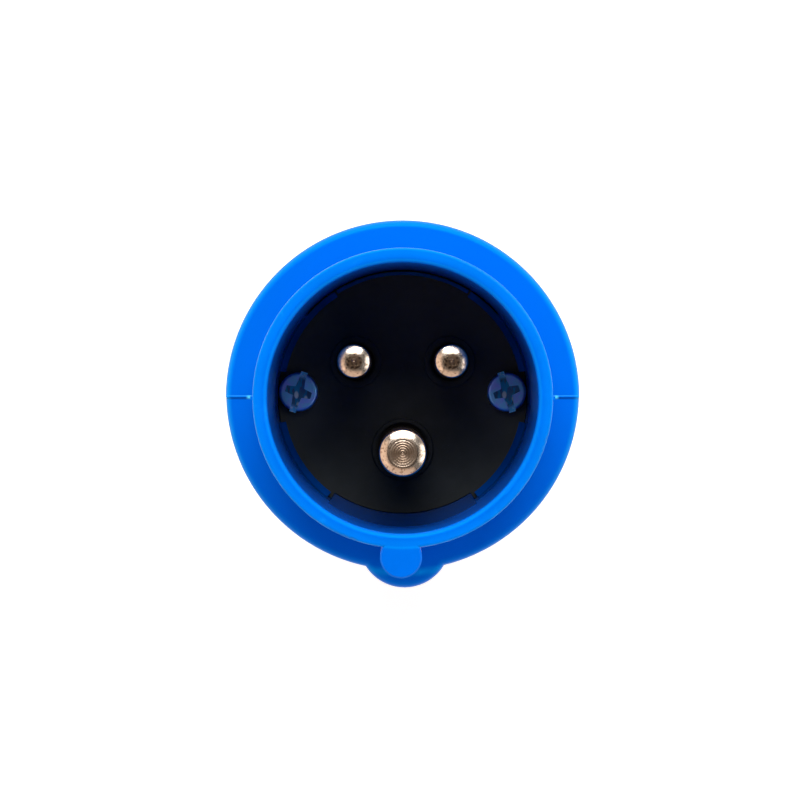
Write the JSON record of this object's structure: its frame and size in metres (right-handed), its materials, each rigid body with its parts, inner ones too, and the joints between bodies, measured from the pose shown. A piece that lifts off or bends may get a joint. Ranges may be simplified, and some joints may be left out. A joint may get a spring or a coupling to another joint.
{
  "type": "industrial pin and sleeve plug",
  "caption": "Industrial pin and sleeve plug for low voltage mains: keyed blue sleeve round recessed contact pins, flanged collar, ribbed handle and a screwed cable gland.",
  "frame": {"origin": "on the plug's axis at the rear face of the gland nut, where the cable goes in", "axes": "+Z along the plug's axis towards the mouth, -Y towards the key and the earth pin, +X to the right seen into the mouth with the key at the bottom"},
  "size_m": [0.0546, 0.0568, 0.128],
  "materials": {
    "blue_shell": "satin moulded polyamide",
    "blue_handle": "satin moulded polyamide",
    "black_carrier": "satin moulded thermoset",
    "grey_insulator": "satin moulded polyamide",
    "grey_nut": "satin moulded polyamide",
    "white_cage": "satin moulded polyamide",
    "rubber_gasket": "matt moulded rubber",
    "rubber_seal": "matt moulded rubber",
    "plated_pin": "turned and nickel plated",
    "zinc_screw": "zinc plated",
    "brass_insert": "turned"
  },
  "bodies": {
    "housing": {"front_shell": "blue_shell", "shell_gasket": "rubber_gasket", "contact_carrier": "black_carrier", "line_pin": "plated_pin", "neutral_pin": "plated_pin", "earth_pin": "plated_pin", "line_terminal_screw": "zinc_screw", "neutral_terminal_screw": "zinc_screw", "earth_terminal_screw": "zinc_screw", "pin_retainer": "grey_insulator", "retainer_screw": "zinc_screw", "left_fixing_screw": "zinc_screw", "right_fixing_screw": "zinc_screw", "left_insert": "brass_insert", "right_insert": "brass_insert", "handle": "blue_handle", "neck_seal_ring": "rubber_gasket", "cable_seal": "rubber_seal", "clamp_cage": "white_cage"},
    "slip_ring": {"thrust_ring": "grey_nut"},
    "nut": {"gland_nut": "grey_nut"}
  },
  "joints": [
    {"name": "ring_slide", "type": "slide", "parent": "housing", "child": "slip_ring", "axis": [0, 0, -1], "range_m": [0, 0.012]},
    {"name": "nut_turn", "type": "hinge", "parent": "slip_ring", "child": "nut", "pos_m": [0, 0, 0.013], "axis": [0, 0, -1], "range_deg": [0, 2160]}
  ],
  "couplings": [
    {"joint": "nut_turn", "follows": "ring_slide", "rad_per_m": 3141.6}
  ]
}
